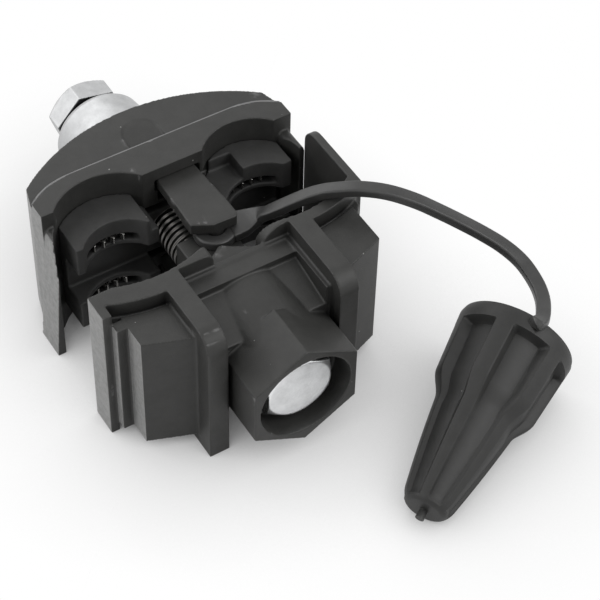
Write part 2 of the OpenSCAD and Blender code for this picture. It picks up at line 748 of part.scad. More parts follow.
// Panels sunk between the rails, from the tip to the rim
module cap_panels() {
    share = 0.7;
    for (i = [0:rails - 1]) rotate([0, 0, 360 * (i + 0.5 - share / 2) / rails])
        rotate_extrude(angle = 360 * share / rails) difference() {
            translate([0, 2.2]) square([2 * cap_mouth_r, cap_len - cap_rim - 2.2]);
            cap_profile(rail_h);
        }
}

// The cap lies on its side, on its mouth and its tip, with its mouth turned away from the boss
module on_surface() {
    translate([cap_tip_at[0], cap_tip_at[1], cap_base_z])
        rotate([0, 0, cap_turn]) rotate([0, 90 - cap_tilt, 0]) children();
}

module end_cap() {
    root_d = strap_w + 0.6;
    color(rubber_black) on_surface() difference() {
        union() {
            difference() {
                rotate_extrude() cap_profile(0);
                rotate([0, 0, 180 + root_turn - 180 / rails]) cap_panels();
            }
            translate([0, 0, -0.9]) cylinder(d = 1.8, h = 2, $fn = 24);
            rotate([0, 0, 180 + root_turn]) translate([cap_mouth_r - 1.6, 0, cap_len - root_back - 0.9])
                rotate([0, 90, 0]) cylinder(d = root_d, h = 1.6 + 0.4 * strap_t, $fn = 32);
        }
        translate([0, 0, cap_len - cap_rim - 1]) cylinder(r = cap_mouth_r - rail_h - cap_wall, h = cap_rim + 2);
        rotate_extrude() difference() {
            cap_profile(rail_h + cap_wall);
            translate([-eps, -eps]) square([cap_mouth_r, cap_tip_wall]);
        }
    }
}

placed() lower_jaw();
placed() upper_jaw();
placed() bolt();
placed() shear_nut();
placed() upper_main_seal();
placed() upper_tap_seal();
placed() lower_main_seal();
placed() lower_tap_seal();
placed() upper_front_plate();
placed() upper_rear_plate();
placed() lower_front_plate();
placed() lower_rear_plate();
placed() strap_eye();
placed() cap_strap();
placed() end_cap();
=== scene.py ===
"""Looks of an insulation piercing connector, built around its packed solids."""
import math

import bmesh
import bpy
from mathutils import Matrix, Vector


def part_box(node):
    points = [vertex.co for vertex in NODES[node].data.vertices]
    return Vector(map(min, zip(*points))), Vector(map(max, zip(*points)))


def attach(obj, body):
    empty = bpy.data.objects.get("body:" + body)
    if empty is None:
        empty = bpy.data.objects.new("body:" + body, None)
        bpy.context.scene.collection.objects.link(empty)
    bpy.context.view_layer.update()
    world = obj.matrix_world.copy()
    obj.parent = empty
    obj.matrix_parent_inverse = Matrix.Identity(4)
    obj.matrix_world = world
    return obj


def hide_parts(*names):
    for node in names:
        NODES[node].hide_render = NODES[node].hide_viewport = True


bl_info = {
    "name": "Insulation Piercing Connector",
    "version": (1, 0, 0),
    "blender": (4, 5, 0),
    "location": "View3D > Sidebar > Connector",
    "description": "Rounds, finishes and lights a two-jaw cable connector with its tethered end cap",
    "category": "Object",
}

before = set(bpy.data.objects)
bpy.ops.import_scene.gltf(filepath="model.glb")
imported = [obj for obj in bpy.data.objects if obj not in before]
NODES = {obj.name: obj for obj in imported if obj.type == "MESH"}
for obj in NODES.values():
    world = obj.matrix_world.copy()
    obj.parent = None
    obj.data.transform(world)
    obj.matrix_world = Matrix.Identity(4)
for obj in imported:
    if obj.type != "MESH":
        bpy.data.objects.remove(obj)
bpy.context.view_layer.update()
MM = 0.001

# Camera: its place in millimetres, then its heading, height and roll in degrees
CAMERA_PLACE = (-125.8, -234.65, 306.7)
CAMERA_ANGLES = (-32.83, 49.08, 1.53)
LENS_LENGTH = 126

# Strap from its eye on the peg to its root on the cap, in millimetres
PEG = (2, -7.4)
STRAP_ROUTE = [
    (4.6, -7.9, 25.15), (6.7, -8.2, 25.15), (8.7, -8.3, 25.25), (10.5, -8.8, 25.8), (11.8, -10.1, 27.2),
    (13.5, -11.3, 28.7), (15.5, -12.5, 30.2), (17.7, -13.8, 31.7), (19.7, -15.1, 32.8), (21.5, -16.6, 33.7),
    (25.3, -19.4, 34.5), (29.3, -22.3, 34.1), (33.3, -25.3, 32.5), (37, -27.8, 30), (40.5, -30.2, 27.4),
    (43.8, -32.8, 24.9), (46.6, -35.9, 22.7), (48.22, -39.7, 21), (48.12, -44.3, 20), (46.8, -48.1, 20),
    (44.7, -51.2, 20.6), (42.9, -53, 21.2), (41.1, -53.6, 22.1)]

# Strap as a cord, in metres: the run of its fan and the rounding of its corners
FAN_RUN = 0.0085
STRAP_CORNER = 0.0004

# Eye of the strap, in metres: its bore and rim radii, its underside and the rounding of its edges
EYE_BORE = 0.0018
EYE_RIM = 0.0041
EYE_BOTTOM = 0.02405
EYE_ROUND = 0.00045

# Ridge line along the lip of the upper jaw, in millimetres
LIP_RIDGE = [
    (-26, 9.6), (-24.2, 10.9), (-22, 12), (-19.6, 12.6), (-17, 12.85), (-8, 12.9), (0, 12.9), (8, 12.9),
    (17, 12.85), (19.6, 12.6), (22, 12), (24.2, 10.9), (26, 9.6)]

# Mould line on that ridge, in metres: its width and the rounding of its corners
FLASH_WIDTH = 0.00044
FLASH_CORNER = 0.0002

# Cap on the surface beside the jaws, in millimetres and degrees: its tip, its heading and its tilt
CAP_TIP = (9.5, -66.9, 3.94)
CAP_TURN = 30.2
CAP_TILT = 10.87

# Flat of the cap's tip, as a share of the tip's radius
TIP_FLAT = 0.72

# Outside of the cap, in metres along it: the round of the tip, the shoulder, the body and the plain rim,
# then the round of the mouth and how far it draws in, and the spacing of the mesh's rings
TIP_ROUND = 0.0024
SHOULDER_START = 0.02
SHOULDER_RUN = 0.0052
BODY_START = 0.025
RIM_HEIGHT = 0.003
MOUTH_ROUND = 0.0007
MOUTH_INSET = 0.00025
RING_STEP = 0.0005

# Bore of the cap, in metres from its tip: its rings and its end, then how far the mouth's rim stands in
BORE_RINGS = (0.0382, 0.034, 0.03, 0.026, 0.0245, 0.023, 0.0215, 0.02, 0.018, 0.012, 0.007, 0.0045)
BORE_END = 0.0038
BORE_LEAD = 0.0006

# Rails of the cap: their pitch and turn in degrees, then where a panel's flanks lie, as shares of the pitch
RAIL_PITCH = 60
RAIL_TURN = 184.5
FLANK_START = 0.15
FLANK_RUN = 0.085

# Panels between the rails: their depth on the nose as a share of the full one, then in metres along the cap
# where they deepen, where they start and how quickly they end
NOSE_PANEL = 0.36
PANEL_DEEPENS = 0.018
PANEL_RUN = 0.008
PANEL_START = 0.0005
PANEL_FADE = 0.0014
PANEL_STOP = 0.0006

# How far round to each side of its underside the cap gives where it lies, in degrees
UNDERSIDE = 70

# Moulding nub on the cap's tip, in metres
NUB_RADII = (0.00085, 0.00075)
NUB_LENGTH = 0.0022
NUB_MIDDLE = -0.0007

# Bolt, in metres: where its shank leaves the head, and the pitch of its thread
SHANK_START = -0.0348
THREAD_PITCH = 0.00125

# Outer end faces of the jaws, paled with painted light, lie further from the middle than this, in metres
END_FACES = 0.019


class JawFinish(bpy.types.PropertyGroup):
    """Moulded glass-filled polyamide of the two jaws"""
    colour: bpy.props.FloatVectorProperty(
        name="Colour", description="Colour of the charcoal polyamide", subtype="COLOR", size=3,
        min=0, max=1, default=(0.042, 0.042, 0.040))
    # Scuffed colour: painted light on the jaws' outer end faces, and on sharp edges partly rubbed wear,
    # partly painted highlight.
    scuff_and_sheen: bpy.props.FloatVectorProperty(
        name="Scuffed colour", description="Colour of rubbed edges and end faces", subtype="COLOR", size=3,
        min=0, max=1, default=(0.4, 0.4, 0.395))
    # Flash line colour: painted highlight along the ridge of the lip, on a real mould-line bead.
    flash_highlight: bpy.props.FloatVectorProperty(
        name="Flash line", description="Colour of the thin mould line along the lip", subtype="COLOR",
        size=3, min=0, max=1, default=(0.3, 0.3, 0.3))
    grain: bpy.props.FloatProperty(
        name="Grain", description="Size of the moulded grain", unit="LENGTH", subtype="DISTANCE",
        min=0.00005, max=0.002, default=0.00022)
    rounding: bpy.props.FloatProperty(
        name="Rounding", description="Cell size of the mesh that rounds the moulded edges", unit="LENGTH",
        subtype="DISTANCE", min=0.00015, max=0.001, default=0.0002)


class RubberFinish(bpy.types.PropertyGroup):
    """Elastomer of the seals, the strap and the end cap"""
    seal_colour: bpy.props.FloatVectorProperty(
        name="Seal colour", description="Colour of the cable seals", subtype="COLOR", size=3,
        min=0, max=1, default=(0.05, 0.05, 0.049))
    strap_colour: bpy.props.FloatVectorProperty(
        name="Strap colour", description="Colour of the strap and its eye", subtype="COLOR", size=3,
        min=0, max=1, default=(0.05, 0.05, 0.049))
    cap_colour: bpy.props.FloatVectorProperty(
        name="Cap colour", description="Colour of the end cap", subtype="COLOR", size=3,
        min=0, max=1, default=(0.03, 0.03, 0.029))
    rounding: bpy.props.FloatProperty(
        name="Rounding", description="Cell size of the mesh that rounds the rubber edges", unit="LENGTH",
        subtype="DISTANCE", min=0.0002, max=0.001, default=0.00028)


class MetalFinish(bpy.types.PropertyGroup):
    """Zinc-plated bolt and nut, and the tinned contact plates"""
    zinc: bpy.props.FloatVectorProperty(
        name="Zinc", description="Colour of the zinc plating", subtype="COLOR", size=3,
        min=0, max=1, default=(0.54, 0.545, 0.55))
    head: bpy.props.FloatVectorProperty(
        name="Bolt head", description="Colour of the bright plating on the bolt", subtype="COLOR", size=3,
        min=0, max=1, default=(0.93, 0.94, 0.95))
    # Thread colour: painted shade, darkening the bolt's shank.
    shaded_thread: bpy.props.FloatVectorProperty(
        name="Thread", description="Colour of the oiled thread", subtype="COLOR", size=3,
        min=0, max=1, default=(0.2, 0.195, 0.185))
    # Tin colour: darkened well below bright tin, as painted shade over the plates in their hollows.
    shaded_tin: bpy.props.FloatVectorProperty(
        name="Tin", description="Colour of the contact plates", subtype="COLOR", size=3,
        min=0, max=1, default=(0.26, 0.255, 0.245))
    rounding: bpy.props.FloatProperty(
        name="Rounding", description="Cell size of the mesh that rounds the metal edges", unit="LENGTH",
        subtype="DISTANCE", min=0.0001, max=0.0006, default=0.00018)


class TetherSizes(bpy.types.PropertyGroup):
    """Sizes of the strap and of the end cap"""
    width: bpy.props.FloatProperty(
        name="Strap width", description="Width of the strap", unit="LENGTH", subtype="DISTANCE",
        min=0.0022, max=0.0036, default=0.0027)
    fan: bpy.props.FloatProperty(
        name="Fan width", description="Width of the strap where it leaves its eye", unit="LENGTH",
        subtype="DISTANCE", min=0.0036, max=0.0078, default=0.0064)
    thickness: bpy.props.FloatProperty(
        name="Strap thickness", description="Thickness of the strap", unit="LENGTH", subtype="DISTANCE",
        min=0.0018, max=0.0024, default=0.0019)
    length: bpy.props.FloatProperty(
        name="Strap length", description="Length of the strap from its eye to the cap", unit="LENGTH",
        subtype="DISTANCE", min=0.05, max=0.1, default=0.079)
    cap_length: bpy.props.FloatProperty(
        name="Cap length", description="Length of the end cap", unit="LENGTH", subtype="DISTANCE",
        min=0.03, max=0.05, default=0.0385)
    mouth_radius: bpy.props.FloatProperty(
        name="Mouth radius", description="Outer radius of the cap at its mouth", unit="LENGTH",
        subtype="DISTANCE", min=0.008, max=0.014, default=0.0114)
    tip_radius: bpy.props.FloatProperty(
        name="Tip radius", description="Outer radius of the cap at its tip", unit="LENGTH",
        subtype="DISTANCE", min=0.003, max=0.006, default=0.0045)
    shoulder_radius: bpy.props.FloatProperty(
        name="Shoulder radius", description="Outer radius of the cap above its shoulder", unit="LENGTH",
        subtype="DISTANCE", min=0.008, max=0.012, default=0.0102)
    rail_height: bpy.props.FloatProperty(
        name="Rail height", description="Height of the cap's rails over its panels", unit="LENGTH",
        subtype="DISTANCE", min=0.0005, max=0.0025, default=0.002)
    wall: bpy.props.FloatProperty(
        name="Cap wall", description="Wall of the cap", unit="LENGTH", subtype="DISTANCE",
        min=0.0006, max=0.002, default=0.0011)


class StudioLight(bpy.types.PropertyGroup):
    """Pale floor and soft lamps"""
    floor: bpy.props.FloatVectorProperty(
        name="Floor", description="Colour of the floor", subtype="COLOR", size=3,
        min=0, max=1, default=(0.6, 0.6, 0.6))
    left: bpy.props.FloatProperty(
        name="Left lamp", description="Power of the large lamp on the left", unit="POWER",
        min=0, max=20, default=1.2)
    back: bpy.props.FloatProperty(
        name="Back lamp", description="Power of the lamp over the back", unit="POWER",
        min=0, max=20, default=1.4)
    front: bpy.props.FloatProperty(
        name="Front lamp", description="Power of the fill in front", unit="POWER",
        min=0, max=20, default=1.8)
    sky: bpy.props.FloatProperty(
        name="Surround", description="Strength of the pale surround", min=0, max=1, default=0.15)


# Shared shader effects

def new_group(name, inputs, outputs):
    group = bpy.data.node_groups.new(name, "ShaderNodeTree")
    for label, kind, value in inputs:
        socket = group.interface.new_socket(label, in_out="INPUT", socket_type=kind)
        if value is not None:
            socket.default_value = value
    for label, kind in outputs:
        group.interface.new_socket(label, in_out="OUTPUT", socket_type=kind)
    return group, group.nodes.new("NodeGroupInput"), group.nodes.new("NodeGroupOutput")


def add_node(tree, kind, links=(), **settings):
    """One node with its settings; links pairs an input's name or number with a socket or a value."""
    made = tree.nodes.new(kind)
    for key, value in settings.items():
        setattr(made, key, value)
    for where, source in links:
        if isinstance(source, bpy.types.NodeSocket):
            tree.links.new(source, made.inputs[where])
        else:
            made.inputs[where].default_value = source
    return made


def maths(tree, operation, *values):
    """Output of one maths node on sockets or plain numbers."""
    return add_node(tree, "ShaderNodeMath", enumerate(values), operation=operation).outputs[0]


def moulded_grain():
    """Fine grain and slow mottle of a moulded surface: a shade, a roughness shift and a height."""
    group, given, out = new_group(
        "Moulded Grain",
        [("Size", "NodeSocketFloat", 0.0002), ("Mottle", "NodeSocketFloat", 0.004)],
        [("Shade", "NodeSocketFloat"), ("Rough", "NodeSocketFloat"), ("Height", "NodeSocketFloat")])
    place = add_node(group, "ShaderNodeTexCoord").outputs["Object"]
    fine_scale = maths(group, "DIVIDE", 1.0, given.outputs["Size"])
    slow_scale = maths(group, "DIVIDE", 1.0, given.outputs["Mottle"])
    fine = add_node(group, "ShaderNodeTexNoise",
                    [("Vector", place), ("Scale", fine_scale), ("Detail", 3.0), ("Roughness", 0.6)])
    slow = add_node(group, "ShaderNodeTexNoise",
                    [("Vector", place), ("Scale", slow_scale), ("Detail", 4.0), ("Roughness", 0.65)])
    shade = add_node(group, "ShaderNodeMapRange",
                     [("Value", slow.outputs["Fac"]), ("From Min", 0.3), ("From Max", 0.7)])
    rough = add_node(group, "ShaderNodeMapRange",
                     [("Value", fine.outputs["Fac"]), ("From Min", 0.25), ("From Max", 0.75),
                      ("To Min", -0.06), ("To Max", 0.06)])
    group.links.new(shade.outputs[0], out.inputs["Shade"])
    group.links.new(rough.outputs[0], out.inputs["Rough"])
    group.links.new(fine.outputs["Fac"], out.inputs["Height"])
    return group


def rubbed_and_highlit_edges():
    """Mask of sharp edges, paled partly as rubbed wear and partly as painted highlight, broken up by noise.
    """
    group, given, out = new_group(
        "Rubbed And Highlit Edges", [("Start", "NodeSocketFloat", 0.53), ("End", "NodeSocketFloat", 0.62)],
        [("Mask", "NodeSocketFloat")])
    place = add_node(group, "ShaderNodeTexCoord").outputs["Object"]
    sharp = add_node(group, "ShaderNodeNewGeometry").outputs["Pointiness"]
    edge = add_node(group, "ShaderNodeMapRange",
                    [("Value", sharp), ("From Min", given.outputs["Start"]),
                     ("From Max", given.outputs["End"])])
    noise = add_node(group, "ShaderNodeTexNoise", [("Vector", place), ("Scale", 900.0), ("Detail", 4.0)])
    broken = add_node(group, "ShaderNodeMapRange",
                      [("Value", noise.outputs["Fac"]), ("From Min", 0.35), ("From Max", 0.65)])
    mask = maths(group, "MULTIPLY", edge.outputs[0], broken.outputs[0])
    group.links.new(mask, out.inputs["Mask"])
    return group


def dust_specks():
    """Mask of the few pale specks that settle on dark plastic and rubber."""
    group, given, out = new_group(
        "Dust Specks", [("Spacing", "NodeSocketFloat", 0.0025), ("Share", "NodeSocketFloat", 0.06)],
        [("Mask", "NodeSocketFloat")])
    place = add_node(group, "ShaderNodeTexCoord").outputs["Object"]
    scale = maths(group, "DIVIDE", 1.0, given.outputs["Spacing"])
    cells = add_node(group, "ShaderNodeTexVoronoi", [("Vector", place), ("Scale", scale)])
    draw = add_node(group, "ShaderNodeSeparateColor", [(0, cells.outputs["Color"])])
    size = add_node(group, "ShaderNodeMapRange",
                    [("Value", draw.outputs[0]), ("From Min", 0.7), ("From Max", 1.0),
                     ("To Max", given.outputs["Share"])])
    mask = maths(group, "LESS_THAN", cells.outputs["Distance"], size.outputs[0])
    group.links.new(mask, out.inputs["Mask"])
    return group


def group_node(tree, group, **values):
    made = tree.nodes.new("ShaderNodeGroup")
    made.node_tree = group
    for label, value in values.items():
        made.inputs[label].default_value = value
    return made


def principled(name):
    material = bpy.data.materials.new(name)
    material.use_nodes = True
    tree = material.node_tree
    return material, tree, tree.nodes["Principled BSDF"]


def colour_mix(tree, mask, low, high):
    mix = tree.nodes.new("ShaderNodeMix")
    mix.data_type = "RGBA"
    for socket, value in ((mix.inputs[0], mask), (mix.inputs[6], low), (mix.inputs[7], high)):
        if isinstance(value, bpy.types.NodeSocket):
            tree.links.new(value, socket)
        elif isinstance(value, float):
            socket.default_value = value
        else:
            socket.default_value = (*value, 1.0)
    return mix.outputs[2]


def shaded(colour, factor):
    return tuple(min(1.0, channel * factor) for channel in colour)


def painted_light_ends(tree):
    """Mask of the jaws' outer end faces, paled with painted light and broken up by streaky noise, and the
    height of the chips on them.
    """
    spot = add_node(tree, "ShaderNodeTexCoord")
    turned = add_node(tree, "ShaderNodeSeparateXYZ", [(0, spot.outputs["Normal"])]).outputs["X"]
    aside = add_node(tree, "ShaderNodeSeparateXYZ", [(0, spot.outputs["Object"])]).outputs["X"]
    facing = maths(tree, "MULTIPLY", turned, maths(tree, "SIGN", aside))
    flat = add_node(tree, "ShaderNodeMapRange",
                    [("Value", facing), ("From Min", 0.75), ("From Max", 0.93)])
    outer = maths(tree, "GREATER_THAN", maths(tree, "ABSOLUTE", aside), END_FACES)
    coarse = add_node(tree, "ShaderNodeTexNoise",
                      [("Vector", spot.outputs["Object"]), ("Scale", 900.0), ("Detail", 5.0),
                       ("Roughness", 0.7)]).outputs["Fac"]
    scuff_and_painted_light = add_node(tree, "ShaderNodeMapRange",
                    [("Value", coarse), ("From Min", 0.3), ("From Max", 0.6), ("To Min", 0.65)])
    shown = maths(tree, "MULTIPLY", flat.outputs[0], outer)
    mask = maths(tree, "MULTIPLY", shown, scuff_and_painted_light.outputs[0])
    return mask, maths(tree, "MULTIPLY", coarse, 3.0)


def dark_moulding(name, colour, scuff_and_painted_light, grain, roughness, bump, gloss, ends=False):
    """Dark polymer: mottled and grained, with painted shade in its hollows, sharp edges paled partly by
    rubbing and partly by painted highlight, painted light on the jaws' outer end faces when ends is set,
    and specks of dust.
    """
    material, tree, shader = principled(name)
    skin = group_node(tree, bpy.data.node_groups["Moulded Grain"], Size=grain)
    rub_and_highlight = group_node(tree, bpy.data.node_groups["Rubbed And Highlit Edges"])
    dust = group_node(tree, bpy.data.node_groups["Dust Specks"])
    tone = colour_mix(tree, skin.outputs["Shade"], shaded(colour, 0.82), shaded(colour, 1.2))
    height = skin.outputs["Height"]
    if ends:
        mask, chips = painted_light_ends(tree)
        # Painted light: the outer end faces turn to the pale colour.
        tone = colour_mix(tree, mask, tone, scuff_and_painted_light)
        height = maths(tree, "MULTIPLY_ADD", mask, chips, height)
    # Painted shade: the colour darkens to a fifth of itself where the piece's own hollows close in.
    shade_ao = add_node(tree, "ShaderNodeAmbientOcclusion", [("Distance", 0.01)], only_local=True, samples=6)
    painted_shade_open = add_node(tree, "ShaderNodeMapRange",
                         [("Value", shade_ao.outputs["AO"]), ("From Min", 0.15), ("From Max", 0.65)])
    tone = colour_mix(tree, painted_shade_open.outputs[0], shaded(colour, 0.2), tone)
    # Sharp edges pale: partly rubbed wear, partly painted highlight.
    tone = colour_mix(tree, rub_and_highlight.outputs["Mask"], tone, shaded(scuff_and_painted_light, 0.5))
    tone = colour_mix(tree, dust.outputs["Mask"], tone, (0.5, 0.5, 0.48))
    tree.links.new(tone, shader.inputs["Base Color"])
    rough = maths(tree, "ADD", skin.outputs["Rough"], roughness)
    tree.links.new(rough, shader.inputs["Roughness"])
    relief = add_node(tree, "ShaderNodeBump",
                      [("Height", height), ("Strength", bump), ("Distance", 0.00008)])
    tree.links.new(relief.outputs[0], shader.inputs["Normal"])
    shader.inputs["Specular IOR Level"].default_value = gloss
    return material


def plated_metal(name, colour, roughness, grain, pitting, shaded_thread=None):
    """Plated metal: satin, cloudy and pitted, with painted shade in its hollows and, on a bolt, a shank
    darkened with painted shade.
    """
    material, tree, shader = principled(name)
    skin = group_node(tree, bpy.data.node_groups["Moulded Grain"], Size=grain, Mottle=0.0025)
    tone = colour_mix(tree, skin.outputs["Shade"], shaded(colour, 0.8), colour)
    # Painted shade: the colour darkens to an eighth of itself in the piece's own hollows.
    shade_ao = add_node(tree, "ShaderNodeAmbientOcclusion", [("Distance", 0.0022)],
                      only_local=True, samples=8)
    metal_shade_open = add_node(tree, "ShaderNodeMapRange",
                    [("Value", shade_ao.outputs["AO"]), ("From Min", 0.35), ("From Max", 0.85)])
    tone = colour_mix(tree, metal_shade_open.outputs[0], shaded(colour, 0.12), tone)
    height = skin.outputs["Height"]
    if shaded_thread:
        place = add_node(tree, "ShaderNodeTexCoord").outputs["Object"]
        along = add_node(tree, "ShaderNodeSeparateXYZ", [(0, place)]).outputs["Y"]
        # Painted shade: past the head, the shank takes the dark thread colour.
        shaded_shank = maths(tree, "GREATER_THAN", along, SHANK_START)
        tone = colour_mix(tree, shaded_shank, tone, shaded_thread)
        turns = maths(tree, "MULTIPLY", along, 2 * math.pi / THREAD_PITCH)
        cut = maths(tree, "MULTIPLY", maths(tree, "SINE", turns), 4.0)
        height = maths(tree, "MULTIPLY_ADD", shaded_shank, cut, height)
    tree.links.new(tone, shader.inputs["Base Color"])
    rough = maths(tree, "ADD", skin.outputs["Rough"], roughness)
    tree.links.new(rough, shader.inputs["Roughness"])
    relief = add_node(tree, "ShaderNodeBump",
                      [("Height", height), ("Strength", pitting), ("Distance", 0.00006)])
    tree.links.new(relief.outputs[0], shader.inputs["Normal"])
    shader.inputs["Metallic"].default_value = 1.0
    return material


# Shared modelling steps

def dress(piece, material):
    piece.data.materials.clear()
    piece.data.materials.append(material)


def soften(piece, cell, passes, share):
    """Rounds a piece's moulded edges: an even mesh of that cell size, smoothed and thinned."""
    weld = piece.modifiers.new("Join", "WELD")
    weld.merge_threshold = 0.000002
    even = piece.modifiers.new("Even mesh", "REMESH")
    even.mode = "VOXEL"
    even.voxel_size = cell
    even.use_smooth_shade = True
    smooth = piece.modifiers.new("Round", "SMOOTH")
    smooth.factor = 0.5
    smooth.iterations = passes
    thin = piece.modifiers.new("Thin", "DECIMATE")
    thin.ratio = share


def add_piece(name, mesh_maker):
    """New mesh object at the origin, filled by mesh_maker(bm)."""
    bm = bmesh.new()
    mesh_maker(bm)
    bmesh.ops.recalc_face_normals(bm, faces=bm.faces)
    mesh = bpy.data.meshes.new(name)
    bm.to_mesh(mesh)
    bm.free()
    for polygon in mesh.polygons:
        polygon.use_smooth = True
    piece = bpy.data.objects.new(name, mesh)
    bpy.context.scene.collection.objects.link(piece)
    return piece


def ease(t):
    """Smooth step from 0 to 1 as t goes from 0 to 1."""
    t = min(1.0, max(0.0, t))
    return t * t * (3 - 2 * t)


def ramp(t):
    """Step from 0 to 1 that is straighter than ease, with crisper corners."""
    t = min(1.0, max(0.0, t))
    return 0.6 * t + 0.4 * ease(t)


def smooth_path(points, steps):
    """Points of one smooth curve through the given points, evenly split between each pair."""
    ends = [2 * points[0] - points[1]] + points + [2 * points[-1] - points[-2]]
    path = []
    for a, b, c, d in zip(ends, ends[1:], ends[2:], ends[3:]):
        for i in range(steps):
            t = i / steps
            path.append(0.5 * (2 * b + (c - a) * t + (2 * a - 5 * b + 4 * c - d) * t * t
                               + (3 * b - a - 3 * c + d) * t ** 3))
    return path + [points[-1]]


def path_frames(path):
    """Places along a path: across level with the floor, then up, then forward."""
    frames = []
    for i, point in enumerate(path):
        forward = (path[min(i + 1, len(path) - 1)] - path[max(i - 1, 0)]).normalized()
        across = Vector((0, 0, 1)).cross(forward).normalized()
        up = forward.cross(across)
        turn = Matrix((across, up, forward)).transposed().to_4x4()
        frames.append(Matrix.Translation(point) @ turn)
    return frames


def sweep(bm, frames, widths, thickness, corner):
    """Flat band along the frames, with a width for each, rounded corners and closed ends."""
    half_t = thickness / 2
    outline = []
    for sx, sy, start in ((1, 1, 0), (-1, 1, 90), (-1, -1, 180), (1, -1, 270)):
        for k in range(5):
            a = math.radians(start + 22.5 * k)
            outline.append((sx, sy * (half_t - corner) + corner * math.sin(a), corner * math.cos(a)))
    for i, (place, width) in enumerate(zip(frames, widths)):
        spots = [place @ Vector((sx * (width / 2 - corner) + dx, dy, 0)) for sx, dy, dx in outline]
        if i == 0:
            ring = [bm.verts.new(spot) for spot in spots]
            edges = [bm.edges.new((a, b)) for a, b in zip(ring, ring[1:] + ring[:1])]
            bmesh.ops.contextual_create(bm, geom=edges)
            continue
        made = bmesh.ops.extrude_edge_only(bm, edges=edges)["geom"]
        twin = {}
        new_verts = [g for g in made if isinstance(g, bmesh.types.BMVert)]
        for vert in ring:
            for edge in vert.link_edges:
                other = edge.other_vert(vert)
                if other in new_verts:
                    twin[vert] = other
        ring = [twin[vert] for vert in ring]
        for vert, spot in zip(ring, spots):
            vert.co = spot
        edges = [g for g in made if isinstance(g, bmesh.types.BMEdge)
                 and g.verts[0] in ring and g.verts[1] in ring]
    bmesh.ops.contextual_create(bm, geom=edges)


def cap_place():
    """Place of the cap, whose own axis runs up from its tip."""
    heading = Matrix.Rotation(math.radians(CAP_TURN), 4, "Z")
    tilt = Matrix.Rotation(math.radians(90 - CAP_TILT), 4, "Y")
    return Matrix.Translation(Vector(CAP_TIP) * MM) @ heading @ tilt


class CONNECTOR_OT_camera(bpy.types.Operator):
    """Camera over the front left corner, looking down on the jaws"""
    bl_idname = "connector.camera"
    bl_label = "Camera"

    def execute(self, context):
        heading, height, roll = (math.radians(a) for a in CAMERA_ANGLES)
        back = Vector((math.sin(heading) * math.cos(height), -math.cos(heading) * math.cos(height),
                       math.sin(height)))
        level = Vector((math.cos(heading), math.sin(heading), 0))
        upright = back.cross(level)
        right = level * math.cos(roll) + upright * math.sin(roll)
        up = upright * math.cos(roll) - level * math.sin(roll)
        lens = bpy.data.cameras.new("camera")
        lens.sensor_width = 36
        lens.lens = LENS_LENGTH
        lens.clip_start = 0.01
        lens.clip_end = 20
        camera = bpy.data.objects.new("camera", lens)
        place = Matrix((right, up, back)).transposed().to_4x4()
        place.translation = Vector(CAMERA_PLACE) * MM
        camera.matrix_world = place
        context.scene.collection.objects.link(camera)
        context.scene.camera = camera
        return {"FINISHED"}


class CONNECTOR_OT_finishes(bpy.types.Operator):
    """Materials of the jaws, the rubber and the metal"""
    bl_idname = "connector.finishes"
    bl_label = "Finishes"

    def execute(self, context):
        moulded_grain()
        rubbed_and_highlit_edges()
        dust_specks()
        jaw = context.scene.connector_jaws
        rubber = context.scene.connector_rubber
        metal = context.scene.connector_metal
        dark_moulding("Jaw plastic", jaw.colour, jaw.scuff_and_sheen, jaw.grain,
                      roughness=0.46, bump=0.35, gloss=0.4, ends=True)
        # Mould-line bead: its pale colour is painted highlight.
        dark_moulding("Jaw flash", jaw.flash_highlight, jaw.flash_highlight, jaw.grain, roughness=0.4, bump=0.2, gloss=0.4)
        # The pale colours given to the rubbers go on sharp edges: partly rubbed wear, partly painted
        # highlight.
        dark_moulding("Seal rubber", rubber.seal_colour, scuff_and_painted_light=(0.08, 0.08, 0.08), grain=0.00018,
                      roughness=0.6, bump=0.25, gloss=0.35)
        dark_moulding("Cap rubber", rubber.cap_colour, scuff_and_painted_light=(0.16, 0.16, 0.155), grain=0.00016,
                      roughness=0.5, bump=0.25, gloss=0.4)
        dark_moulding("Strap rubber", rubber.strap_colour, scuff_and_painted_light=(0.2, 0.2, 0.195), grain=0.00016,
                      roughness=0.36, bump=0.25, gloss=0.5)
        plated_metal("Zinc plating", metal.zinc, roughness=0.5, grain=0.0003, pitting=0.3)
        plated_metal("Zinc head", metal.head, roughness=0.34, grain=0.0007, pitting=0.9,
                     shaded_thread=metal.shaded_thread)
        plated_metal("Tinned contact", metal.shaded_tin, roughness=0.26, grain=0.0002, pitting=0.25)
        return {"FINISHED"}


